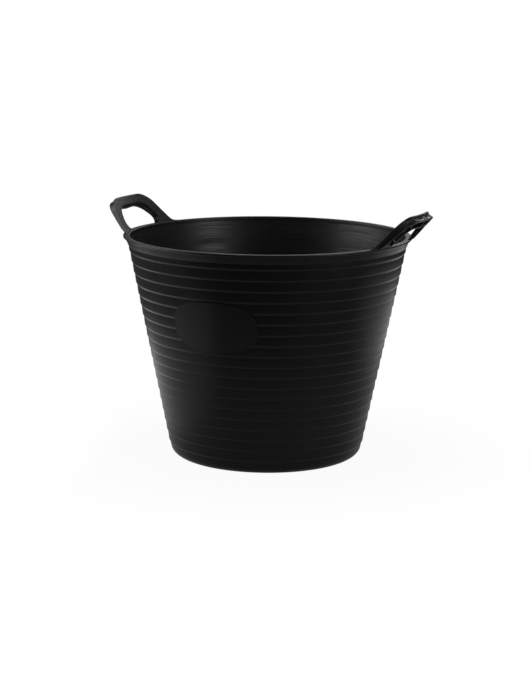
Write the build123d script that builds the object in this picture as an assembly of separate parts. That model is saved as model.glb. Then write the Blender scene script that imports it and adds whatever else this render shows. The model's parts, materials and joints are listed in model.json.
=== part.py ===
from build123d import *
import os
from math import atan, cos, degrees, radians, sin, sqrt

# Flexible harvest tub: one soft plastic moulding, split into its working members.
# Millimetres, +Z up, origin at the centre of the ground that it stands on.
# The two handles face along +X and -X, and the bare oval pad faces -Y.

# Tub
rim_diameter = 450.0         # over the lip
tub_height = 347.0           # ground to the top of the lip
ground_diameter = 300.0      # where the wall's slope would meet the ground
wall_thickness = 2.6         # at the thinnest, under each ring
floor_thickness = 3.5
floor_clearance = 2.5        # ground to the underside of the floor
foot_width = 11.0            # flat ring that the tub stands on
base_round = 14.0            # outside rounding between wall and ground
inside_round = 12.0          # inside rounding between wall and floor
floor_dome = 1.5             # how far the floor's middle is lifted
dome_diameter = 150.0
dome_slope = 12.0            # width of the slope around the lifted middle

# Rings: bands that lap downwards, each with a proud lower edge
ring_pitch = 16.8
ring_step = 1.3              # how far a ring's edge stands out
ring_chamfer = 1.6           # height of the slope under a ring's edge
first_ring_drop = 22.6       # top of the lip to the first ring's edge
ring_base_gap = 5.0          # least height of the last ring above the base's rounding

# Rim
rim_band = 14.0              # height of the rim's smooth band, lip included
rim_proud = 0.8              # how far that band stands out from the wall below it
lip_overhang = 4.8           # lip's edge outside the line of the wall
lip_thickness = 2.9
lip_round = 1.2              # rounding of the lip's edges
cove_height = 4.5            # hollow under the lip
inner_edge_round = 1.0

# Oval pad
pad_width = 135.0
pad_height = 76.0
pad_proud = 0.5              # outside the line of the ring edges
pad_seat = 0.4               # pocket depth below the line of the ring creases
pad_drop = 115.0             # top of the lip to the pad's centre

# Handles
handle_lean = 33.0           # degrees outwards from vertical
foot_inset = 3.0             # lip's edge to the handle's front face
handle_rise = 56.0           # along the lean, top of the lip to the top of the grip
handle_crown = 2.8           # bow of the grip's top edge
handle_foot_width = 152.0
handle_top_width = 109.0
handle_corner = 31.0
hole_rise = 39.8
hole_crown = 1.8
hole_foot_width = 121.0
hole_top_width = 78.0
hole_corner = 26.0
foot_depth = 2.8             # front to back on the lip
heel_depth = 5.6             # front to back at the top of the heel
heel_rise = 7.0              # along the lean, top of the lip to the top of the heel
grip_depth = 12.5            # front to back at the top
foot_fillet = 13.0           # rounding between the outside of a leg and the lip
foot_edge = 0.8              # height at which that rounding ends on the lip
hole_fillet = 12.0           # rounding between the inside of a leg and the lip
hole_edge_rise = 1.4         # height at which that rounding ends on the lip
face_thickness = 2.6         # front sheet
face_overhang = 1.2          # front sheet's outer edge outside the wall behind it
side_wall = 2.2              # walls round the outside and round the hand hole
root_height = 10.0           # soft stretch of each leg, which bends
dimple_count = 4             # finger hollows in the wall along the grip's top
dimple_pitch = 30.0
dimple_depth = 1.2
dimple_radius = 28.0
dimple_front = 4.2           # handle's front to the near edge of the hollows
dimple_width = 5.0

# Ribs on the open back of each handle
rib_thickness = 2.2
rib_recess = 0.8             # rib's edge below the back of the walls
leg_rib_rise = 16.0          # up the lean from the lip to the rib across each leg
shoulder_rib_place = 40.0    # along the rim from the middle of the grip
shoulder_rib_rise = 42.5
shoulder_rib_turn = 47.0     # degrees

REACH = 16.0                 # how far cutting shapes run past what they cut

rim_radius = rim_diameter / 2
ground_radius = ground_diameter / 2
wall_slope = (rim_radius - lip_overhang - ground_radius) / tub_height
rim_split = tub_height - rim_band
first_ring = tub_height - first_ring_drop
lowest_ring = base_round + ring_base_gap
ring_count = int((first_ring - lowest_ring) / ring_pitch) + 1
floor_top = floor_clearance + floor_thickness
crease_depth = ring_step + wall_thickness


def ring_line(z):
    """Radius of the line along the rings' proud edges."""
    return ground_radius + wall_slope * z


def inner_line(z):
    """Radius of the smooth inside of the wall."""
    return ring_line(z) - crease_depth


def revolved(points, rounds=()):
    """Turns a closed outline of (radius, height) points, with some corners rounded, about Z."""
    outline = make_face(Polyline(*points, close=True))
    for point, radius in rounds:
        corner = outline.vertices().sort_by_distance(point)[0]
        outline = fillet(corner, radius)
    return revolve(Plane.XZ * outline, Axis.Z)


wall_top_radius = ring_line(rim_split) - ring_step / 2
base_corner = (ring_line(0) - ring_step, 0)
foot_radius_outer = base_corner[0] - base_round * (sqrt(1 + wall_slope**2) - wall_slope)
foot_radius_inner = foot_radius_outer - foot_width
inside_corner = (inner_line(floor_top), floor_top)


def make_wall():
    """Tapered wall with its rings, down to the flat foot ring."""
    points = [(inner_line(rim_split), rim_split), (wall_top_radius, rim_split)]
    for ring in range(ring_count):
        edge = first_ring - ring * ring_pitch
        points.append((ring_line(edge), edge))
        points.append((ring_line(edge) - ring_step, edge - ring_chamfer))
    points += [base_corner, (foot_radius_inner, 0), (foot_radius_inner, floor_top), inside_corner]
    wall = revolved(points, [(base_corner, base_round), (inside_corner, inside_round)])
    return wall - pad_space(crease_line_offset(), REACH)


def make_floor():
    """Disc inside the foot ring, with its middle lifted so that it doesn't rock."""
    middle, edge = dome_diameter / 2, dome_diameter / 2 + dome_slope
    low, high = floor_clearance, floor_top
    return revolved([
        (0, low + floor_dome), (middle, low + floor_dome), (edge, low), (foot_radius_inner, low),
        (foot_radius_inner, high), (edge, high), (middle, high + floor_dome), (0, high + floor_dome),
    ])


def make_rim():
    """Smooth band and the flat lip on top of the wall."""
    band_radius = wall_top_radius + rim_proud
    lip_under = tub_height - lip_thickness
    cove_top = band_radius + wall_slope * rim_band
    outer_top, outer_under = (rim_radius, tub_height), (rim_radius, lip_under)
    inner_top = (inner_line(tub_height), tub_height)
    return revolved(
        [(inner_line(rim_split), rim_split), (band_radius, rim_split),
         (cove_top, lip_under - cove_height), (cove_top + lip_overhang / 2, lip_under),
         outer_under, outer_top, inner_top],
        [(outer_top, lip_round), (outer_under, lip_round), (inner_top, inner_edge_round)])


def crease_line_offset():
    """Pocket floor for the pad, measured inwards from the line of the ring edges."""
    return -(ring_step + pad_seat)


def pad_space(inner_offset, outer_offset):
    """Oval prism towards -Y between two cones that follow the wall's slope."""
    level = tub_height - pad_drop
    low, high = level - pad_height / 2 - 1, level + pad_height / 2 + 1
    shell = revolved([
        (ring_line(low) + inner_offset, low), (ring_line(low) + outer_offset, low),
        (ring_line(high) + outer_offset, high), (ring_line(high) + inner_offset, high),
    ])
    oval = Plane.XZ * Pos(0, level) * Ellipse(pad_width / 2, pad_height / 2)
    return shell & extrude(oval, amount=rim_radius)


# Handle geometry: u runs along the rim, v up the lean, on a plane that touches the front at its middle
lean = radians(handle_lean)
front_radius = rim_radius - foot_inset
handle_plane = Plane(
    origin=(front_radius, 0, tub_height), x_dir=(0, 1, 0), z_dir=(cos(lean), 0, -sin(lean)))
leg_slope = (handle_foot_width - handle_top_width) / 2 / (handle_rise - handle_crown)
hole_slope = (hole_foot_width - hole_top_width) / 2 / (hole_rise - hole_crown)
leg_turn, hole_turn = atan(leg_slope), atan(hole_slope)
slab_top = handle_rise + REACH


def level(depth):
    """(v, depth) stations of a surface parallel to the handle's front."""
    return [(-REACH, depth), (slab_top, depth)]


def tapered(extra):
    """(v, depth) stations of the handle's back, or of a surface at some distance behind it."""
    deepening = (grip_depth - heel_depth) / (handle_rise - heel_rise)
    stations = [
        (-REACH, foot_depth), (0, foot_depth), (heel_rise, heel_depth),
        (slab_top, heel_depth + deepening * (slab_top - heel_rise))]
    return [(v, depth + extra) for v, depth in stations]


sheet_back = level(face_thickness)


def section_line(stations):
    """(radius, height) points on the handle's middle section."""
    return [
        (front_radius + v * sin(lean) + depth * cos(lean), tub_height + v * cos(lean) - depth * sin(lean))
        for v, depth in stations]


def curved_slab(front, back):
    """Slab that follows the rim, between two surfaces."""
    return revolved(section_line(front) + section_line(back)[::-1])


def leg_edge(v):
    """Outside of a leg, measured along u."""
    return handle_foot_width / 2 - leg_slope * v


def hole_edge(v):
    """Inside of a leg, measured along u."""
    return hole_foot_width / 2 - hole_slope * v


def lip_level(u):
    """v at which the handle's curved front meets the top of the lip."""
    return sin(lean) * (sqrt(front_radius**2 - u**2) - front_radius)


def arch(foot_width, top_width, rise, crown, corner):
    """Arch outline with sloped sides, a bowed top and round corners, open to below the lip."""
    shoulder = rise - crown
    flare = (foot_width - top_width) / 2 / shoulder
    low_half = foot_width / 2 + flare * REACH
    half = top_width / 2
    top = ThreePointArc((-half, shoulder), (0, rise), (half, shoulder))
    sides = Polyline((half, shoulder), (low_half, -REACH), (-low_half, -REACH), (-half, shoulder))
    outline = make_face(top + sides)
    corners = outline.vertices().sort_by(Axis.Y)[-2:]
    return fillet(corners, corner)


def foot_corner():
    """Hollow corner between the outside of one leg and the lip."""
    centre_v = lip_level(handle_foot_width / 2 + foot_fillet) + foot_edge + foot_fillet
    tangent_v = centre_v - foot_fillet * sin(leg_turn)
    centre_u = leg_edge(tangent_v) + foot_fillet * cos(leg_turn)
    wedge = make_face(Polyline(
        (leg_edge(tangent_v), tangent_v), (leg_edge(-REACH), -REACH), (centre_u, -REACH), (centre_u, centre_v),
        close=True))
    return wedge - Pos(centre_u, centre_v) * Circle(foot_fillet)


def hole_foot_corner():
    """Hollow corner between the inside of one leg and the lip."""
    centre_v = lip_level(hole_foot_width / 2 - hole_fillet) + hole_edge_rise + hole_fillet
    tangent_v = centre_v + hole_fillet * sin(hole_turn)
    centre_u = hole_edge(tangent_v) - hole_fillet * cos(hole_turn)
    wedge = make_face(Polyline(
        (hole_edge(tangent_v), tangent_v), (hole_edge(-REACH), -REACH), (centre_u, -REACH), (centre_u, centre_v),
        close=True))
    return wedge - Pos(centre_u, centre_v) * Circle(hole_fillet)


def handle_outline():
    """Outside of the handle, with hollow corners at its feet."""
    outline = arch(handle_foot_width, handle_top_width, handle_rise, handle_crown, handle_corner)
    return outline + foot_corner() + mirror(foot_corner(), Plane.YZ)


def hand_hole():
    """Hole between the legs and the grip, with hollow corners at the lip."""
    hole = arch(hole_foot_width, hole_top_width, hole_rise, hole_crown, hole_corner)
    return hole - hole_foot_corner() - mirror(hole_foot_corner(), Plane.YZ)


def band(outer_inset, hole_inset):
    """Prism through the handle between its outline and its hand hole, each set in by an amount."""
    outline, hole = handle_outline(), hand_hole()
    if outer_inset:
        outline = offset(outline, -outer_inset, kind=Kind.INTERSECTION)
    if hole_inset:
        hole = offset(hole, hole_inset, kind=Kind.INTERSECTION)
    return through(outline - hole)


def through(sketch):
    """Prism of a handle sketch, right through the handle along the plane's normal."""
    return extrude(handle_plane * sketch, amount=rim_radius / 2, both=True)


def between(low, high):
    """Everything between two heights."""
    size = rim_diameter + 4 * handle_rise
    return Pos(0, 0, (low + high) / 2) * Box(size, size, high - low)


bend_top = tub_height + root_height
handle_top = tub_height + handle_rise + grip_depth
hollow = band(face_overhang + side_wall, side_wall) & curved_slab(sheet_back, tapered(REACH))


def finger_hollows():
    """Short round cuts along the top of the grip, behind its front sheet."""
    cuts = []
    for place in range(dimple_count):
        u = (place - (dimple_count - 1) / 2) * dimple_pitch
        bow = handle_crown * (2 * u / handle_top_width) ** 2
        cuts.append(Pos(u, handle_rise - face_overhang - bow + dimple_radius - dimple_depth) * Circle(dimple_radius))
    return through(Sketch() + cuts) & curved_slab(level(dimple_front), level(dimple_front + dimple_width))


def handle_block():
    """The whole handle with a closed back: the front sheet, and the walls set in behind it."""
    sheet = band(0, 0) & curved_slab(level(0), sheet_back)
    return sheet + (band(face_overhang, 0) & curved_slab(level(face_thickness / 2), tapered(0)))


def make_roots():
    """Feet of the two legs on the lip: the soft stretch that bends, closed at its top by a rib."""
    cell = hollow & between(tub_height - REACH, bend_top - rib_thickness)
    return (handle_block() & between(tub_height, bend_top)) - cell


def make_channel():
    """Grip and legs: a front sheet with deep walls behind its edges, open at the back."""
    return (handle_block() - hollow - finger_hollows()) & between(bend_top, handle_top)


def rib_plates():
    """Plan of the ribs: one across each leg, one at each shoulder, one in the middle of the grip."""
    length = handle_foot_width - hole_foot_width
    leg_middle = (leg_edge(leg_rib_rise) + hole_edge(leg_rib_rise)) / 2
    across_leg = Rectangle(length, rib_thickness)
    plates = [Pos(0, (handle_rise + hole_rise) / 2) * Rectangle(rib_thickness, length)]
    for side in (-1, 1):
        leg_rib_turn = side * degrees(leg_turn + hole_turn) / 2
        plates.append(Pos(side * leg_middle, leg_rib_rise) * Rot(0, 0, leg_rib_turn) * across_leg)
        plates.append(
            Pos(side * shoulder_rib_place, shoulder_rib_rise) * Rot(0, 0, side * shoulder_rib_turn) * across_leg)
    return plates


def make_ribs():
    """Cross ribs in the open back, lower than the walls around them."""
    space = hollow & between(bend_top, handle_top)
    space -= curved_slab(tapered(-rib_recess), tapered(2 * REACH))
    return [space & through(plate) for plate in rib_plates()]


def write(name, shape):
    export_step(shape, f"parts/{name}.step")


os.makedirs("parts", exist_ok=True)
write("wall", make_wall())
write("floor", make_floor())
write("rim", make_rim())
write("oval_pad", pad_space(crease_line_offset(), pad_proud))

handle_pieces = {
    "roots": make_roots().solids(),
    "channel": make_channel().solids(),
    "ribs": [solid for rib in make_ribs() for solid in rib.solids()],
}
for side, turn in (("right", 0), ("left", 180)):
    for piece, solids in handle_pieces.items():
        write(f"{side}_handle_{piece}", Compound([Rot(0, 0, turn) * solid for solid in solids]))
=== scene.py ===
# %% [markdown]
# # A flexible harvest tub
# A soft black tub that pickers fill with fruit and carry by two handles. It is one moulding in
# low-density polyethylene: a tapered wall with a ring every 17 mm, a flat lip, a smooth oval pad on the
# front, and two arched handles that are open at the back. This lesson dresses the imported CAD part. The
# CAD model stays the frame that says where everything is and what moves, and each piece here is modelled
# over it with Blender's own tools.

# %% Load the frame
import json
from math import atan, cos, pi, radians, sin, sqrt, tan

import bmesh
import bpy
from mathutils import Euler, Matrix, Vector

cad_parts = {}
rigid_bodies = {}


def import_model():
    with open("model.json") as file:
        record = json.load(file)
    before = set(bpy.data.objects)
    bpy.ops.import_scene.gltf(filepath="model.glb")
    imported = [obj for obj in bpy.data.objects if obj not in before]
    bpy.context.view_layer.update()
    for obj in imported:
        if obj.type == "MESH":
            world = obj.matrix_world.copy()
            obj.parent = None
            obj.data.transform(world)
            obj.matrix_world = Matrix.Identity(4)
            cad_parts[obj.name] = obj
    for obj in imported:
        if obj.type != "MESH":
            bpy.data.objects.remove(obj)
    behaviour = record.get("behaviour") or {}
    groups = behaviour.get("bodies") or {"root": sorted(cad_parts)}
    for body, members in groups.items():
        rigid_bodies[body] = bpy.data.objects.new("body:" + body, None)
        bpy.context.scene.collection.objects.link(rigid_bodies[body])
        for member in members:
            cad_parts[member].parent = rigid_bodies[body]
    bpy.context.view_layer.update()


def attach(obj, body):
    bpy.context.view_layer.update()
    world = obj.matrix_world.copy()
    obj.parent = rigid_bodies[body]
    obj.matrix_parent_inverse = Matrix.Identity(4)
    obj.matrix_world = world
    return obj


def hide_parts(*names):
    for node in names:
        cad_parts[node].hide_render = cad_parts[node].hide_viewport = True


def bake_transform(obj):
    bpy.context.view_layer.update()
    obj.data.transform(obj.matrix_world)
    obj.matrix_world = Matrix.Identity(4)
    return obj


MM = 0.001
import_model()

# %% [markdown]
# ## Camera
# The photograph was taken from a little above the rim, through a long lens, with the tub turned so that
# its left handle shows its front and its right handle shows its open back. A camera fitted to the rim
# and to the rings gives the numbers, and it was held half a degree out of level. The long side of the
# frame is 686 pixels, and Blender's 36 mm sensor lies along it.

# %% Camera
view_turn, view_lift, view_roll = radians(24.1), radians(11.37), radians(0.46)
view_distance, aim_height, aim_shift = 2.792, 0.1739, 0.00265
sensor_length, frame_pixels, focal_pixels = 36, 686, 1766.6


def towards(turn, lift):
    """Direction from the tub, at a turn from its front and a lift above level."""
    return Vector((sin(turn) * cos(lift), -cos(turn) * cos(lift), sin(lift)))


image_right = towards(view_turn + pi / 2, 0)
image_away = towards(view_turn + pi, 0)
looks_at = Vector((0, 0, aim_height)) - aim_shift * image_right
stands_at = looks_at + view_distance * towards(view_turn, view_lift)
level = Euler((pi / 2 - view_lift, 0, view_turn)).to_matrix()
rolled = (level @ Matrix.Rotation(view_roll, 3, "Z")).to_euler()
bpy.ops.object.camera_add(location=stands_at, rotation=rolled)
camera = bpy.context.active_object
camera.data.sensor_width = sensor_length
camera.data.lens = focal_pixels / frame_pixels * sensor_length
bpy.context.scene.camera = camera
print("lens, mm:", round(camera.data.lens, 1))

# %% [markdown]
# ## Helpers
# A step of hand modelling is nearly always the same: leave nothing selected, add a primitive, go into
# edit mode, pick what to change by its place, and run an operator. These few functions hold that
# routine.

# %% Helpers for modelling
NEAR = 0.05  # Points are found by their place to within this many mm.


def start_piece(name):
    """New object that holds one vertex at the origin, in edit mode."""
    bpy.ops.object.select_all(action="DESELECT")
    bpy.ops.mesh.primitive_plane_add(size=MM)
    piece = bpy.context.active_object
    piece.name = piece.data.name = name
    bpy.ops.object.mode_set(mode="EDIT")
    bpy.ops.mesh.merge(type="CENTER")
    return piece


def trace(points):
    """Moves the selected vertex from the origin to the first point, then extrudes it on, in mm."""
    bpy.ops.transform.translate(value=Vector(points[0]) * MM)
    for start, end in zip(points, points[1:]):
        step = (Vector(end) - Vector(start)) * MM
        bpy.ops.mesh.extrude_region_move(TRANSFORM_OT_translate={"value": step})


def pick(piece, kind, wanted):
    """Selects the vertices or faces for which wanted(place in mm, normal) is true, and counts them."""
    bpy.ops.mesh.select_mode(type="VERT" if kind == "verts" else "FACE")
    bpy.ops.mesh.select_all(action="DESELECT")
    mesh = bmesh.from_edit_mesh(piece.data)
    mesh.normal_update()
    count = 0
    for item in getattr(mesh, kind):
        place = item.co if kind == "verts" else item.calc_center_median()
        if wanted(place / MM, item.normal):
            item.select_set(True)
            count += 1
    mesh.select_flush_mode()
    bmesh.update_edit_mesh(piece.data)
    return count


def close_up(piece):
    """Merges doubles, points all faces outwards and leaves edit mode."""
    bpy.ops.mesh.select_mode(type="VERT")
    bpy.ops.mesh.select_all(action="SELECT")
    bpy.ops.mesh.remove_doubles(threshold=0.01 * MM)
    bpy.ops.mesh.normals_make_consistent(inside=False)
    bpy.ops.object.mode_set(mode="OBJECT")


def apply_modifier(piece, kind, **settings):
    """Adds a modifier with its settings and applies it."""
    modifier = piece.modifiers.new(kind.title(), kind)
    for name, value in settings.items():
        setattr(modifier, name, value)
    bpy.ops.object.modifier_apply(modifier=modifier.name)


def report(piece):
    """Prints a piece's triangles and the two corners of its box, in mm."""
    bpy.context.view_layer.update()
    piece.data.calc_loop_triangles()
    low, high = [[round(value / MM, 1) for value in piece.bound_box[corner]] for corner in (0, 6)]
    print(piece.name, "triangles:", len(piece.data.loop_triangles), "from", low, "to", high)


print("helpers ready")

# %% [markdown]
# ## Tub shell
# Wall, floor and rim are one skin on the real tub, so they are one piece here. It could be cut from
# cylinders, but a turned shape is quickest as a section that is drawn once and spun: the section starts
# at the middle of the floor, goes up the inside, over the lip and down the rings, and returns under the
# floor. Its sizes repeat the CAD part's.

# %% Section of the inside and the lip
tub_height, rim_radius, ground_radius = 347.0, 225.0, 150.0
lip_overhang, lip_thickness, band_height = 4.8, 2.9, 6
floor_top, floor_under = 6.0, 2.5
raised_radius, raised_foot, raised_by = 75, 87, 1.5  # The middle of the floor is lifted.
wall_slope = (rim_radius - lip_overhang - ground_radius) / tub_height
crease_depth, skin = 1.3, 3.9


def ring_line(z):
    """Radius at the edges of the rings, at a height."""
    return ground_radius + wall_slope * z


raised_top = floor_top + raised_by
inside_floor = [(0, 0, raised_top), (raised_radius, 0, raised_top), (raised_foot, 0, floor_top)]
inside_corner = (ring_line(floor_top) - skin, 0, floor_top)
inside_wall = [(ring_line(z) - skin, 0, z) for z in (30, tub_height - 10)]
band_foot = (ring_line(tub_height - band_height) - skin, 0, tub_height - band_height)
lip_inner = (band_foot[0], 0, tub_height)
lip_outer = (rim_radius, 0, tub_height)
lip_under = (rim_radius, 0, tub_height - lip_thickness)
inside = inside_floor + [inside_corner, *inside_wall, band_foot, lip_inner, lip_outer, lip_under]
print("inside radius at the lip, mm:", round(lip_inner[0], 1))

# %% [markdown]
# Under the lip the rim has a hollow, a fine line and a smooth band that stands proud of the wall. The
# rings follow. Each is a lap: the wall comes out in a nearly straight line to a narrow rounded edge,
# then drops back in about 3 mm. Ten points make one ring, and the loop repeats them down the taper. The
# last of them lies only half a millimetre below the drop: it keeps the smooth shading of the drop out of
# the next face, so that the crease looks crisp.

# %% Section of the rim's outside, the rings and the base
ring_pitch, first_ring, ring_count = 16.8, tub_height - 22.6, 19
# Height from the top of the lip, and distance from its edge.
rim_shape = [
    (-lip_thickness, -2.3), (-3.7, -3.5), (-5.4, -4.3), (-7.1, -4.6), (-7.5, -5.1), (-8.0, -5.1),
    (-8.4, -5.3), (-13.1, -7.2), (-13.7, -7.5), (-14.1, -8.3), (-14.8, -8.65), (-15.4, -8.7)]
rim_outside = [(rim_radius + out, 0, tub_height + rise) for rise, out in rim_shape]
# Height from the edge of a ring, and distance from the line of the ring edges.
ring_shape = [
    (9.0, -0.62), (4.0, -0.28), (1.7, -0.08), (0.8, 0.0), (0.1, -0.1), (-0.5, -0.34), (-1.3, -0.84),
    (-2.1, -1.2), (-2.6, -1.28), (-3.1, -1.22)]
rings = []
for place in range(ring_count):
    edge = first_ring - place * ring_pitch
    rings += [(ring_line(edge + rise) + out, 0, edge + rise) for rise, out in ring_shape]
rings = rings[1:]  # The foot of the band takes the place of the first point.
foot_inner, gate_radius, gate_height = 126.2, 4.0, 0.8  # The gate leaves a small boss under the floor.
base_corner = (ground_radius - crease_depth, 0, 0)
foot_edge = (foot_inner, 0, 0)
raised_under = floor_under + raised_by
gate_under = raised_under - gate_height
underside = [
    base_corner, foot_edge, (foot_inner, 0, floor_under), (raised_foot, 0, floor_under),
    (raised_radius, 0, raised_under), (gate_radius, 0, raised_under),
    (gate_radius - gate_height, 0, gate_under), (0, 0, gate_under)]
section = inside + rim_outside + rings + underside
print("points in the section:", len(section))

# %% [markdown]
# The corners of the section are still sharp. A vertex bevel rounds each one while it is only a point on
# a line, which is far easier than rounding a circular edge later. Then one spin makes the tub.

# %% Draw, round and spin the section
shell = start_piece("tub_shell")
trace(section)
# Each corner with the reach of its rounding in mm and its number of steps.
for corner, reach, steps in [
        (inside_corner, 9.8, 7), (band_foot, 1.0, 2), (lip_inner, 1.1, 3), (lip_outer, 1.25, 4),
        (lip_under, 1.25, 4), (base_corner, 11.45, 8), (foot_edge, 1.2, 2)]:
    pick(shell, "verts", lambda place, normal: (place - Vector(corner)).length < NEAR)
    bpy.ops.mesh.bevel(offset_type="OFFSET", offset=reach * MM, segments=steps, affect="VERTICES")
bpy.ops.mesh.select_all(action="SELECT")
bpy.ops.mesh.spin(steps=192, angle=2 * pi, center=(0, 0, 0), axis=(0, 0, 1), use_auto_merge=True)
close_up(shell)
bpy.ops.object.shade_smooth_by_angle(angle=radians(50))
report(shell)

# %% [markdown]
# ## Oval pad
# A smooth oval interrupts four rings on the front of the wall. It is bare. A flat oval could be laid on,
# but the wall is a cone, so the oval is drawn as a flat disc of rings and then shrink-wrapped along its
# normal onto a guide cone, which is deleted afterwards. Its ends are blunter than an ellipse's. No
# operator makes that curve, so a short loop moves each point out along its own ray to a superellipse.

# %% Flat oval
pad_level, pad_width, pad_height, pad_power = tub_height - 115, 135.0, 76.0, 2.8
pad_middle = Vector((0, -0.25, pad_level * MM))  # It starts a little in front of the wall.
bpy.ops.object.select_all(action="DESELECT")
bpy.ops.mesh.primitive_circle_add(
    vertices=96, radius=pad_width / 2 * MM, fill_type="NGON", location=pad_middle, rotation=(pi / 2, 0, 0))
pad = bpy.context.active_object
pad.name = pad.data.name = "oval_pad_skin"
bpy.ops.object.transform_apply(location=True, rotation=True, scale=True)
bpy.ops.object.mode_set(mode="EDIT")
for step in (0.8, 0.8, 2, 6, 10, 12, 12, 12):
    bpy.ops.mesh.inset(thickness=step * MM)
bpy.ops.mesh.select_all(action="SELECT")
bpy.ops.transform.resize(value=(1, 1, pad_height / pad_width), center_override=pad_middle)
bpy.ops.object.mode_set(mode="OBJECT")
for point in pad.data.vertices:
    ray = point.co - pad_middle
    across, up = abs(ray.x) / pad_width, abs(ray.z) / pad_height
    blunter = sqrt(across**2 + up**2) / (across**pad_power + up**pad_power) ** (1 / pad_power)
    point.co = pad_middle + blunter * ray
report(pad)

# %% Wrap the oval on the wall
pad_proud, pad_thickness, guide_half = 0.45, 2.4, 60
low_radius, high_radius = [ring_line(pad_level + rise) + pad_proud for rise in (-guide_half, guide_half)]
bpy.ops.mesh.primitive_cone_add(
    vertices=720, depth=2 * guide_half * MM, location=(0, 0, pad_level * MM),
    radius1=low_radius * MM, radius2=high_radius * MM)
guide = bpy.context.active_object
bpy.ops.object.select_all(action="DESELECT")
bpy.context.view_layer.objects.active = pad
pad.select_set(True)
apply_modifier(
    pad, "SHRINKWRAP", target=guide, wrap_method="PROJECT", use_project_y=True, use_positive_direction=True,
    use_negative_direction=True)
bpy.data.objects.remove(guide)
apply_modifier(pad, "SOLIDIFY", thickness=pad_thickness * MM, offset=-1)
bpy.ops.object.mode_set(mode="EDIT")
close_up(pad)
bpy.ops.object.shade_smooth_by_angle(angle=radians(50))
report(pad)

# %% [markdown]
# ## Handles
# Each handle is an arch on the lip that leans out over the wall. Its front is one curved sheet, and
# behind the sheet stand two walls with ribs between them, open at the back like a channel. It could be
# bent from a straight channel, but a bend needs a window, so it is modelled flat, where extrude and
# inset are exact, and wrapped on the rim's cone at the end. While it is flat, x runs along the rim, z up
# the lean and y from front to back. The handle's edge and the hand hole's edge are two lines with the
# same number of points, so that a bridge fills the sheet between them. A leg and the lip meet in a
# fillet, and so do the hole and the lip.

# %% Sizes of the handle and fillets at its feet
lean, front_radius = radians(33), rim_radius - 3
handle_rise, handle_crown, hole_rise, hole_crown = 55.3, 2.8, 39.8, 1.8
foot_half, top_half, hole_foot_half, hole_top_half = 76.0, 54.5, 60.5, 39.0
leg_slope = (foot_half - top_half) / (handle_rise - handle_crown)
hole_slope = (hole_foot_half - hole_top_half) / (hole_rise - hole_crown)
foot_fillet, foot_edge_height = 13.0, 0.8
hole_fillet, hole_edge_height = 12.0, 0.6


def lip_level(u):
    """Where the handle's front meets the lip, up the lean."""
    return sin(lean) * (sqrt(front_radius**2 - u**2) - front_radius)


def fillet(u, v, radius, sweep, side):
    """Six points on an arc about a place, which starts straight below it and sweeps to one side."""
    turns = [sweep * step / 5 for step in range(6)]
    return [(u + side * radius * sin(turn), v - radius * cos(turn)) for turn in turns]


arc_v = lip_level(foot_half + foot_fillet) + foot_edge_height + foot_fillet
leg_turn = atan(leg_slope)
arc_u = foot_half - leg_slope * (arc_v - foot_fillet * sin(leg_turn)) + foot_fillet * cos(leg_turn)
foot_arc = fillet(arc_u, arc_v, foot_fillet, pi / 2 - leg_turn, -1)
hole_turn = atan(hole_slope)
hole_arc_v = lip_level(hole_foot_half - hole_fillet) + hole_edge_height + hole_fillet
leaves_v = hole_arc_v + hole_fillet * sin(hole_turn)
hole_arc_u = hole_foot_half - hole_slope * leaves_v - hole_fillet * cos(hole_turn)
hole_arc = fillet(hole_arc_u, hole_arc_v, hole_fillet, pi / 2 + hole_turn, 1)
print("fillets end at, mm:", [[round(value, 1) for value in arc[-1]] for arc in (foot_arc, hole_arc)])

# %% Lines of the handle and of the hand hole
leg_stations, hole_stations = (3, 9, 15, 21, 26, 31), (17.2, 19, 20.8, 22.4, 24)
grip_stations = [32 - 4 * step for step in range(9)]
hole_grip_stations = [0.7 * u for u in grip_stations]
leg_sink, hole_sinks = 9, (9, 6)  # Both lines start below the lip.


def mirrored(half):
    """Whole line from its right half, which starts at the foot and ends at the middle of the grip."""
    points = [(u, 0, v) for u, v in half]
    return points + [(-u, 0, v) for u, v in reversed(half[:-1])]


handle_corner = (top_half, handle_rise - handle_crown)
hole_corner = (hole_top_half, hole_rise - hole_crown)
outer_half = (
    [(arc_u, arc_v - foot_fillet - leg_sink)] + foot_arc
    + [(foot_half - leg_slope * v, v) for v in leg_stations] + [handle_corner]
    + [(u, handle_rise - handle_crown * (u / top_half) ** 2) for u in grip_stations])
hole_half = (
    [(hole_arc_u, hole_arc_v - hole_fillet - sink) for sink in hole_sinks] + hole_arc
    + [(hole_foot_half - hole_slope * v, v) for v in hole_stations] + [hole_corner]
    + [(u, hole_rise - hole_crown * (u / hole_top_half) ** 2) for u in hole_grip_stations])
print("points on each line:", len(mirrored(outer_half)), len(mirrored(hole_half)))

# %% Trace both lines, round their corners and bridge them
handle = start_piece("right_handle_skin")
trace(mirrored(outer_half))
bpy.ops.mesh.primitive_plane_add(size=MM)
bpy.ops.mesh.merge(type="CENTER")
trace(mirrored(hole_half))
for corner, reach in ((handle_corner, 20.6), (hole_corner, 15.0)):
    pick(handle, "verts", lambda place, normal: (
        (Vector((abs(place.x), place.z)) - Vector(corner)).length < NEAR))
    bpy.ops.mesh.bevel(offset_type="OFFSET", offset=reach * MM, segments=8, affect="VERTICES")
bpy.ops.mesh.select_all(action="SELECT")
bpy.ops.mesh.bridge_edge_loops(type="SINGLE", number_cuts=3, interpolation="LINEAR")
print("faces in the sheet:", len(bmesh.from_edit_mesh(handle.data).faces))

# %% [markdown]
# The sheet's front is crowned. Taking one row of points off the selection at a time lifts the middle
# more than the edges. Then the sheet gets its thickness, an inset leaves the sheet's edge proud of the
# walls behind it, and a second inset leaves the walls standing when the middle is pushed back in. Round
# the hand hole a short slope leads from the sheet in to the wall, so its points are drawn together
# towards the middle of the hole before the wall is raised.

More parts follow.
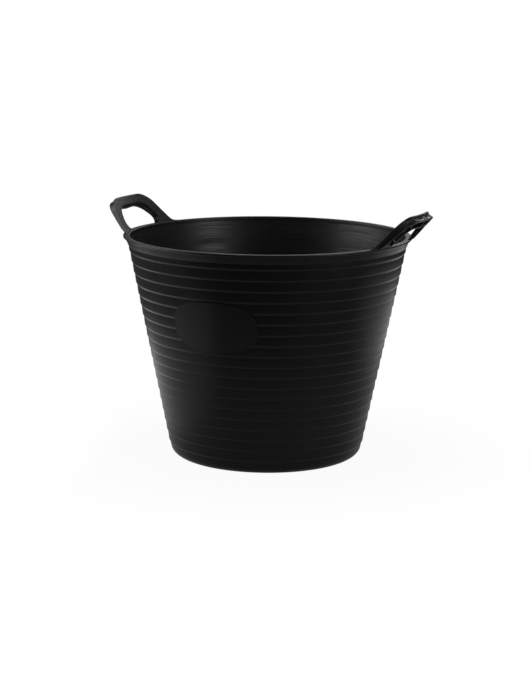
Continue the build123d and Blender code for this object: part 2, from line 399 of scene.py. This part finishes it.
# %% Crown, thickness and walls
sheet_thickness, sheet_overhang, wall_width, grip_depth, rib_recess = 2.6, 1.6, 2.2, 12.5, 0.8
slope_depth, slope_reach = 4.8, 4.6


def push_back(depth):
    """Extrudes the selected faces to the back by a depth in mm."""
    bpy.ops.mesh.extrude_region_move(TRANSFORM_OT_translate={"value": (0, depth * MM, 0)})


bpy.ops.mesh.select_mode(type="VERT")
bpy.ops.mesh.select_all(action="SELECT")
for lift in (0.9, 0.4):
    bpy.ops.mesh.select_less()
    bpy.ops.transform.translate(value=(0, -lift * MM, 0))
bpy.ops.mesh.select_mode(type="FACE")
bpy.ops.mesh.select_all(action="SELECT")
push_back(sheet_thickness)
bpy.ops.transform.resize(value=(1, 0, 1), center_override=(0, sheet_thickness * MM, 0))
bpy.ops.mesh.inset(thickness=sheet_overhang * MM)
push_back(slope_depth - sheet_thickness)
bpy.ops.mesh.select_all(action="SELECT")
bpy.ops.mesh.normals_make_consistent(inside=False)
hole_middle = Vector((0, slope_depth, hole_rise / 2))
sloped = pick(handle, "verts", lambda place, normal: (
    place.y > slope_depth - NEAR and normal.dot((hole_middle - place).normalized()) > 0.3))
bpy.ops.transform.push_pull(value=slope_reach * MM, center_override=hole_middle * MM)
pick(handle, "faces", lambda place, normal: place.y > slope_depth - NEAR and normal.y > 0.9)
push_back(grip_depth - slope_depth)
bpy.ops.mesh.inset(thickness=wall_width * MM)
push_back(-rib_recess)
print("points drawn together:", sloped, "faces:", len(bmesh.from_edit_mesh(handle.data).faces))

# %% [markdown]
# Seven ribs cross the channel: two on each leg, one at each shoulder and one in the middle of the grip.
# Each is cut out of the channel's floor by two bisections, before the floor between the ribs is pushed
# in towards the sheet.

# %% Ribs
rib_thickness, rib_level = 2.2, grip_depth - rib_recess
rib_reach, cut_reach = 12, 16  # How far from its middle a rib may reach, and a cut.
ribs = [((0, (handle_rise + hole_rise) / 2), 0)]
for side in (-1, 1):
    for u, v, turn in ((63, 5.3, 12), (60.5, 16, 26), (40, 42.5, 47)):
        ribs.append(((side * u, v), pi / 2 + side * radians(turn)))


def from_rib(place, rib):
    """Distances of a place along and across a rib."""
    (u, v), turn = rib
    along = (place.x - u) * -sin(turn) + (place.z - v) * cos(turn)
    across = (place.x - u) * cos(turn) + (place.z - v) * sin(turn)
    return abs(along), abs(across)


def on_floor(place):
    """True on the floor of the channel."""
    return abs(place.y - rib_level) < NEAR


def in_cell(place):
    """True on the floor between the ribs."""
    distances = [from_rib(place, rib) for rib in ribs]
    clear = [across > rib_thickness / 2 or along > rib_reach for along, across in distances]
    return on_floor(place) and all(clear)


for rib in ribs:
    (u, v), turn = rib
    for edge in (-rib_thickness / 2, rib_thickness / 2):
        pick(handle, "faces", lambda place, normal: (
            on_floor(place) and max(from_rib(place, rib)) < cut_reach))
        cut_at = ((u + edge * cos(turn)) * MM, 0, (v + edge * sin(turn)) * MM)
        bpy.ops.mesh.bisect(plane_co=cut_at, plane_no=(cos(turn), 0, sin(turn)))
cell_faces = pick(handle, "faces", lambda place, normal: in_cell(place))
push_back(slope_depth - rib_level)
print("cell faces pushed in:", cell_faces)

# %% [markdown]
# Moulded edges are never sharp. A bevel rounds them and one subdivision smooths the whole. Before that,
# three cuts along the walls give the grip enough points for its finger hollows.

# %% Round the edges
for depth in (6.4, 8.3, 10.2):
    bpy.ops.mesh.select_all(action="SELECT")
    bpy.ops.mesh.bisect(plane_co=(0, depth * MM, 0), plane_no=(0, 1, 0))
close_up(handle)
apply_modifier(
    handle, "BEVEL", width=0.6 * MM, segments=2, limit_method="ANGLE", angle_limit=radians(40),
    use_clamp_overlap=False)
apply_modifier(handle, "SUBSURF", levels=1, render_levels=1)
report(handle)

# %% [markdown]
# What is left can't be done by an operator: the dents of the finger hollows, the taper from a deep grip
# to shallow feet, and the wrap on the cone of the rim. One loop moves every point. A point at depth w
# lies on a cone of the same lean, moved out by w, and the line through it square to the handle's plane
# meets that cone where a quadratic says.

# %% Finger hollows, taper and wrap
foot_depth, heel_depth, heel_rise = 2.8, 5.6, 7.0
# The feet reach a little into the lip, and what would reach lower is squeezed.
foot_bite, foot_squash = 1.6, 0.9
dimple_places, dimple_level = (-45, -15, 15, 45), 6.7
dimple_length, dimple_width, dimple_depth = 18.0, 6.4, 1.6


def dented(u, v, w, normal):
    """Flat handle point after the finger hollows are pressed into the top of the grip."""
    dent = 0
    if abs(normal.z) > 0.5 and v > hole_rise + 6:
        for place in dimple_places:
            reach = ((u - place) / dimple_length) ** 2 + ((w - dimple_level) / dimple_width) ** 2
            dent += dimple_depth * max(1 - 4 * reach, 0)
    outwards = normal if normal.z > 0 else -normal
    return u - dent * outwards.x, v - dent * outwards.z


def square_to_plane(u, v, w):
    """How far behind the handle's plane a point at a depth lies."""
    s, c, slope = sin(lean), cos(lean), tan(lean)
    a = front_radius + v * s
    b = a + w / c
    square, linear, rest = c * c - (s * slope) ** 2, 2 * a * c + 2 * b * s * slope, a * a + u * u - b * b
    return -2 * rest / (linear + sqrt(linear**2 - 4 * square * rest))


def tapered(u, v, w):
    """Depth of a flat handle point after the walls are made shallower towards the feet."""
    above_lip = max(v - square_to_plane(u, v, 0) * tan(lean), 0)
    heel = min(above_lip / heel_rise, 1)
    up_leg = max(above_lip - heel_rise, 0) / (handle_rise - heel_rise)
    depth = foot_depth + (heel_depth - foot_depth) * heel + (grip_depth - heel_depth) * up_leg
    behind_sheet, deepest = w - sheet_thickness, grip_depth - sheet_thickness
    return sheet_thickness + behind_sheet * (depth - sheet_thickness) / deepest


def wrapped(u, v, w):
    """Place on the tub of a flat handle point."""
    if w > sheet_thickness:
        w = tapered(u, v, w)
    back = square_to_plane(u, v, w)
    out = front_radius + v * sin(lean) + back * cos(lean)
    place = Vector((out, u, tub_height + v * cos(lean) - back * sin(lean)))
    too_low = max(tub_height - foot_bite - place.z, 0)
    place.z += foot_squash * too_low
    return place


normals = [point.normal.copy() for point in handle.data.vertices]
for point, normal in zip(handle.data.vertices, normals):
    u, w, v = point.co / MM
    point.co = wrapped(*dented(u, v, w, normal), w) * MM
bpy.ops.object.mode_set(mode="EDIT")
close_up(handle)
bpy.ops.object.shade_smooth_by_angle(angle=radians(45))
report(handle)

# %% Left handle
bpy.ops.object.select_all(action="DESELECT")
handle.select_set(True)
bpy.ops.object.duplicate()
left_handle = bpy.context.active_object
left_handle.name = left_handle.data.name = "left_handle_skin"
left_handle.rotation_euler.z = pi
bpy.ops.object.transform_apply(location=True, rotation=True, scale=True)
report(left_handle)

# %% [markdown]
# ## Where the pieces ride
# The shell and the pad are on the body of the tub. A handle's feet stay on the lip while its grip
# swings, but here each handle is only baked in place and put on no body.

# %% Bodies
for piece, nodes in ((shell, ("wall", "floor", "rim")), (pad, ("oval_pad",))):
    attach(piece, "tub")
    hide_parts(*nodes)
for piece, side, sign in ((handle, "right", 1), (left_handle, "left", -1)):
    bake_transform(piece)
    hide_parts(f"{side}_handle_roots", f"{side}_handle_channel", f"{side}_handle_ribs")

# %% [markdown]
# ## Materials
# The tub is low-density polyethylene, coloured black in the mass and moulded in an eroded steel mould.
# To the eye that is a deep black with a satin, slightly waxy sheen, and a mirror image so weak that only
# bright things show in it. Each surface could have a function of its own, but they differ only in grain
# and sheen, so one function takes these as values. The outside carries the mould's fine grain, the pad
# is smoother, the grips are a little duller, and the flat of the lip, which hands and crates rub, is the
# dullest. The inside was formed on a turned core, which leaves faint level streaks, so it gets a second
# pattern.

# %% Helpers for materials
def linear_colour(text):
    """Linear RGBA of an sRGB hex colour."""
    values = [int(text[place:place + 2], 16) / 255 for place in (1, 3, 5)]
    return [v / 12.92 if v <= 0.04045 else ((v + 0.055) / 1.055) ** 2.4 for v in values] + [1]


def add_node(material, kind, links=(), **settings):
    """Adds a node with its settings, then links or sets its inputs by name or number."""
    node = material.node_tree.nodes.new(kind)
    for name, value in settings.items():
        setattr(node, name, value)
    for socket, source in dict(links).items():
        if isinstance(source, bpy.types.NodeSocket):
            material.node_tree.links.new(source, node.inputs[socket])
        else:
            node.inputs[socket].default_value = source
    return node


def new_material(name):
    """Material with a shader that mirrors weakly, as soft black plastic does."""
    material = bpy.data.materials.new(name)
    material.use_nodes = True
    shader = material.node_tree.nodes["Principled BSDF"]
    shader.inputs["IOR"].default_value = 1.51
    shader.inputs["Specular IOR Level"].default_value = 0.14
    return material, shader, add_node(material, "ShaderNodeTexCoord").outputs["Object"]


ldpe_black, white = linear_colour("#0a0a0b"), linear_colour("#ffffff")
print("black, linear:", [round(v, 4) for v in ldpe_black])

# %% Black moulded LDPE
patch_size = 60  # Flow marks and handling make patches of this size, in mm, that differ a little in sheen.


def moulded_black(name, grain_size, grain_height, satin, dull):
    """Black LDPE with the grain of its mould, in mm, and a roughness that wanders between two values."""
    material, shader, place = new_material(name)
    grain = add_node(material, "ShaderNodeTexNoise", {
        "Vector": place, "Scale": 1 / (grain_size * MM), "Detail": 3.0, "Roughness": 0.6})
    relief = add_node(material, "ShaderNodeBump", {
        "Height": grain.outputs["Fac"], "Strength": 1.0, "Distance": grain_height * MM})
    patches = add_node(material, "ShaderNodeTexNoise", {
        "Vector": place, "Scale": 1 / (patch_size * MM), "Detail": 4.0, "Roughness": 0.55})
    sheen = add_node(material, "ShaderNodeMapRange", {
        "Value": patches.outputs["Fac"], "From Min": 0.3, "From Max": 0.7, "To Min": satin, "To Max": dull})
    shader.inputs["Base Color"].default_value = ldpe_black
    material.node_tree.links.new(sheen.outputs["Result"], shader.inputs["Roughness"])
    material.node_tree.links.new(relief.outputs["Normal"], shader.inputs["Normal"])
    return material, shader, place, relief


# The real grain is about 0.3 mm, too fine for the render, so it is drawn several times coarser.
outside = moulded_black("ldpe_black_moulded_grain", 2.5, 0.03, 0.29, 0.37)[0]
smooth = moulded_black("ldpe_black_smooth_pad", 4.0, 0.01, 0.27, 0.33)[0]
grip = moulded_black("ldpe_black_grip_grain", 3.0, 0.03, 0.34, 0.46)[0]
rubbed = moulded_black("ldpe_black_rubbed_lip", 2.5, 0.03, 0.5, 0.58)[0]
print("materials:", outside.name, smooth.name, grip.name, rubbed.name)

# %% Inside: LDPE formed on a turned core
inside_skin, shader, place, relief = moulded_black("ldpe_black_turned_core", 2.5, 0.03, 0.36, 0.5)
# The core's tool marks are level lines, in mm here, drawn coarser than the real ones so that they show.
line_spacing, line_length, line_depth = 2, 100, 0.2
flatten = line_spacing / line_length
level_place = add_node(inside_skin, "ShaderNodeMapping", {
    "Vector": place, "Scale": (flatten, flatten, 1.0)})
lines = add_node(inside_skin, "ShaderNodeTexNoise", {
    "Vector": level_place.outputs["Vector"], "Scale": 1 / (line_spacing * MM), "Detail": 2.0,
    "Roughness": 0.6})
grooves = add_node(inside_skin, "ShaderNodeBump", {
    "Height": lines.outputs["Fac"], "Normal": relief.outputs["Normal"], "Strength": 1.0,
    "Distance": line_depth * MM})
polish = add_node(inside_skin, "ShaderNodeMapRange", {
    "Value": lines.outputs["Fac"], "From Min": 0.35, "From Max": 0.65, "To Min": 0.3, "To Max": 0.55})
inside_skin.node_tree.links.new(grooves.outputs["Normal"], shader.inputs["Normal"])
inside_skin.node_tree.links.new(polish.outputs["Result"], shader.inputs["Roughness"])
print("nodes:", len(inside_skin.node_tree.nodes))

# %% Put the materials on
for piece, material in ((shell, outside), (pad, smooth), (handle, grip), (left_handle, grip)):
    piece.data.materials.clear()
    piece.data.materials.append(material)


def on_inside(place, normal):
    """True on the inside of the wall and on top of the floor."""
    faces_in = normal.x * place.x + normal.y * place.y < -0.2 * place.xy.length
    on_wall = 5 < place.z < tub_height - 0.5 and faces_in
    return on_wall or normal.z > 0.7 and place.z < 20


def on_lip(place, normal):
    """True on the flat of the lip."""
    return normal.z > 0.8 and place.z > tub_height - 0.5


bpy.ops.object.select_all(action="DESELECT")
bpy.context.view_layer.objects.active = shell
bpy.ops.object.mode_set(mode="EDIT")
for slot, (material, wanted) in enumerate(((inside_skin, on_inside), (rubbed, on_lip)), start=1):
    shell.data.materials.append(material)
    shell.active_material_index = slot
    count = pick(shell, "faces", wanted)
    bpy.ops.object.material_slot_assign()
    print(material.name, "faces:", count)
bpy.ops.object.mode_set(mode="OBJECT")

# %% [markdown]
# ## Studio
# The tub stands in a dark studio, before a white backdrop and between two white cards that lie on the
# floor. The floor could be lit until it is white, but that would grey the tub. So the lamps stay at a
# plain level, and rays from the camera and through glass see the floor and the sky as white. Mirror rays
# see white on the cards and the backdrop: the left card draws a light line under each ring on that
# side, and the right card lights the faces on the other. Near the tub they also see a faint painted
# glow, a painted pool of light on the floor. A small part of the floor stays lit by the lamps, and it
# keeps the tub's soft shadow.

# %% White where it is looked at
def seen_white(material, mirror_share):
    """1 for camera and glass rays, a given share for mirror rays, else 0."""
    path = add_node(material, "ShaderNodeLightPath").outputs
    mirror = add_node(
        material, "ShaderNodeMath", {0: path["Is Glossy Ray"], 1: mirror_share}, operation="MULTIPLY")
    straight = add_node(
        material, "ShaderNodeMath", {0: path["Is Camera Ray"], 1: path["Is Transmission Ray"]},
        operation="MAXIMUM")
    either = add_node(
        material, "ShaderNodeMath", {0: mirror.outputs[0], 1: straight.outputs[0]}, operation="MAXIMUM")
    return either.outputs[0]


sky_strength, backdrop_lift = 0.15, radians(15)
world = bpy.data.worlds.new("studio_sky")
bpy.context.scene.world = world
world.use_nodes = True
sky = world.node_tree.nodes["Background"]
sky.inputs["Color"].default_value = white
ray = add_node(world, "ShaderNodeTexCoord").outputs["Generated"]
behind = add_node(
    world, "ShaderNodeVectorMath", {0: ray, 1: towards(view_turn + pi, backdrop_lift)},
    operation="DOT_PRODUCT")
backdrop = add_node(world, "ShaderNodeMapRange", {
    "Value": behind.outputs["Value"], "From Min": 0.88, "From Max": 0.97, "To Min": 0.0, "To Max": 1.0})
brightness = add_node(world, "ShaderNodeMapRange", {
    "Value": seen_white(world, backdrop.outputs["Result"]), "To Min": sky_strength, "To Max": 1.0})
world.node_tree.links.new(brightness.outputs["Result"], sky.inputs["Strength"])
bpy.context.scene.view_settings.view_transform = "Standard"
print("sky strength away from view:", sky_strength)

# %% Floor and cards
bpy.ops.object.select_all(action="DESELECT")
bpy.ops.mesh.primitive_plane_add(size=200)
ground = bpy.context.active_object
ground.name = "studio_floor"
paper, shader, place = new_material("white_paper")
away = add_node(paper, "ShaderNodeVectorMath", {0: place}, operation="LENGTH").outputs["Value"]


def white_card(across, back, turn, width, depth, below):
    """Share of white on an oval card with a soft edge, laid over the share of what is below it."""
    on_card = add_node(
        paper, "ShaderNodeMapping", {
            "Vector": place, "Location": across * image_right + back * image_away,
            "Rotation": (0, 0, view_turn + radians(turn)), "Scale": (width / 2, depth / 2, 1)},
        vector_type="TEXTURE")
    out = add_node(paper, "ShaderNodeVectorMath", {0: on_card.outputs["Vector"]}, operation="LENGTH")
    card = add_node(
        paper, "ShaderNodeMapRange", {
            "Value": out.outputs["Value"], "From Min": 0.75, "From Max": 1.1, "To Min": 1.0, "To Max": 0.0},
        interpolation_type="SMOOTHSTEP")
    laid = add_node(paper, "ShaderNodeMath", {0: card.outputs["Result"], 1: below}, operation="MAXIMUM")
    return laid.outputs[0]


# Between the cards the floor is grey near the tub and dark further off, a painted pool of light.
near = add_node(
    paper, "ShaderNodeMapRange", {
        "Value": away, "From Min": 0.4, "From Max": 0.8, "To Min": 0.3, "To Max": 0.05},
    interpolation_type="SMOOTHSTEP")
cards = near.outputs["Result"]
# Metres to the right of the tub and behind it, degrees of turn, width and depth in metres. The last card is
# the foot of the backdrop.
for card in ((-0.5, 0.12, 0, 0.54, 1.25), (0.75, 0.5, 15, 0.6, 1.4), (-0.15, 1.35, 0, 0.8, 0.9)):
    cards = white_card(*card, cards)
print("floor nodes so far:", len(paper.node_tree.nodes))

# %% Paper of the floor
# Inputs 6 and 7 of a Mix node are its colours, and output 2 is the mixed one.
tint = add_node(
    paper, "ShaderNodeMix", {"Factor": cards, 6: linear_colour("#202020"), 7: linear_colour("#f0f0f0")},
    data_type="RGBA")
paper.node_tree.links.new(tint.outputs[2], shader.inputs["Base Color"])
shader.inputs["Roughness"].default_value = 0.9
shader.inputs["Specular IOR Level"].default_value = 0.0
# White from half a metre away, and nearly white under the tub.
whiteness = add_node(
    paper, "ShaderNodeMapRange", {
        "Value": away, "From Min": 0.15, "From Max": 0.5, "To Min": 0.95, "To Max": 1.0},
    interpolation_type="SMOOTHSTEP")
share = add_node(
    paper, "ShaderNodeMath", {0: whiteness.outputs["Result"], 1: seen_white(paper, cards)},
    operation="MULTIPLY")
glow = add_node(paper, "ShaderNodeEmission", {"Color": white, "Strength": 1.0})
mixed = add_node(paper, "ShaderNodeMixShader", {
    0: share.outputs[0], 1: shader.outputs[0], 2: glow.outputs[0]})
paper.node_tree.links.new(mixed.outputs[0], paper.node_tree.nodes["Material Output"].inputs["Surface"])
ground.data.materials.append(paper)
print("floor nodes:", len(paper.node_tree.nodes))

# %% Lamps
def soft_box(name, turn, lift, distance, width, height, watts):
    """Area lamp aimed at the tub, at a bearing from the camera's, in degrees, metres and watts."""
    bearing = view_turn + radians(turn)
    middle = Vector((0, 0, 0.2))
    bpy.ops.object.light_add(
        type="AREA", location=middle + distance * towards(bearing, radians(lift)),
        rotation=(pi / 2 - radians(lift), 0, bearing))
    lamp = bpy.context.active_object
    lamp.name = lamp.data.name = name
    lamp.data.shape = "RECTANGLE"
    lamp.data.size, lamp.data.size_y, lamp.data.energy = width, height, watts


soft_box("right_soft_box", 54, 22, 2.0, 0.8, 1.4, 30)
soft_box("left_soft_box", -95, 22, 2.0, 1.6, 1.4, 48)
soft_box("top_soft_box", 0, 80, 2.6, 2.0, 2.0, 12)
soft_box("side_soft_box", 108, 34, 2.0, 0.8, 0.8, 3)
soft_box("back_soft_box", 160, 32, 2.0, 0.6, 0.5, 5.5)
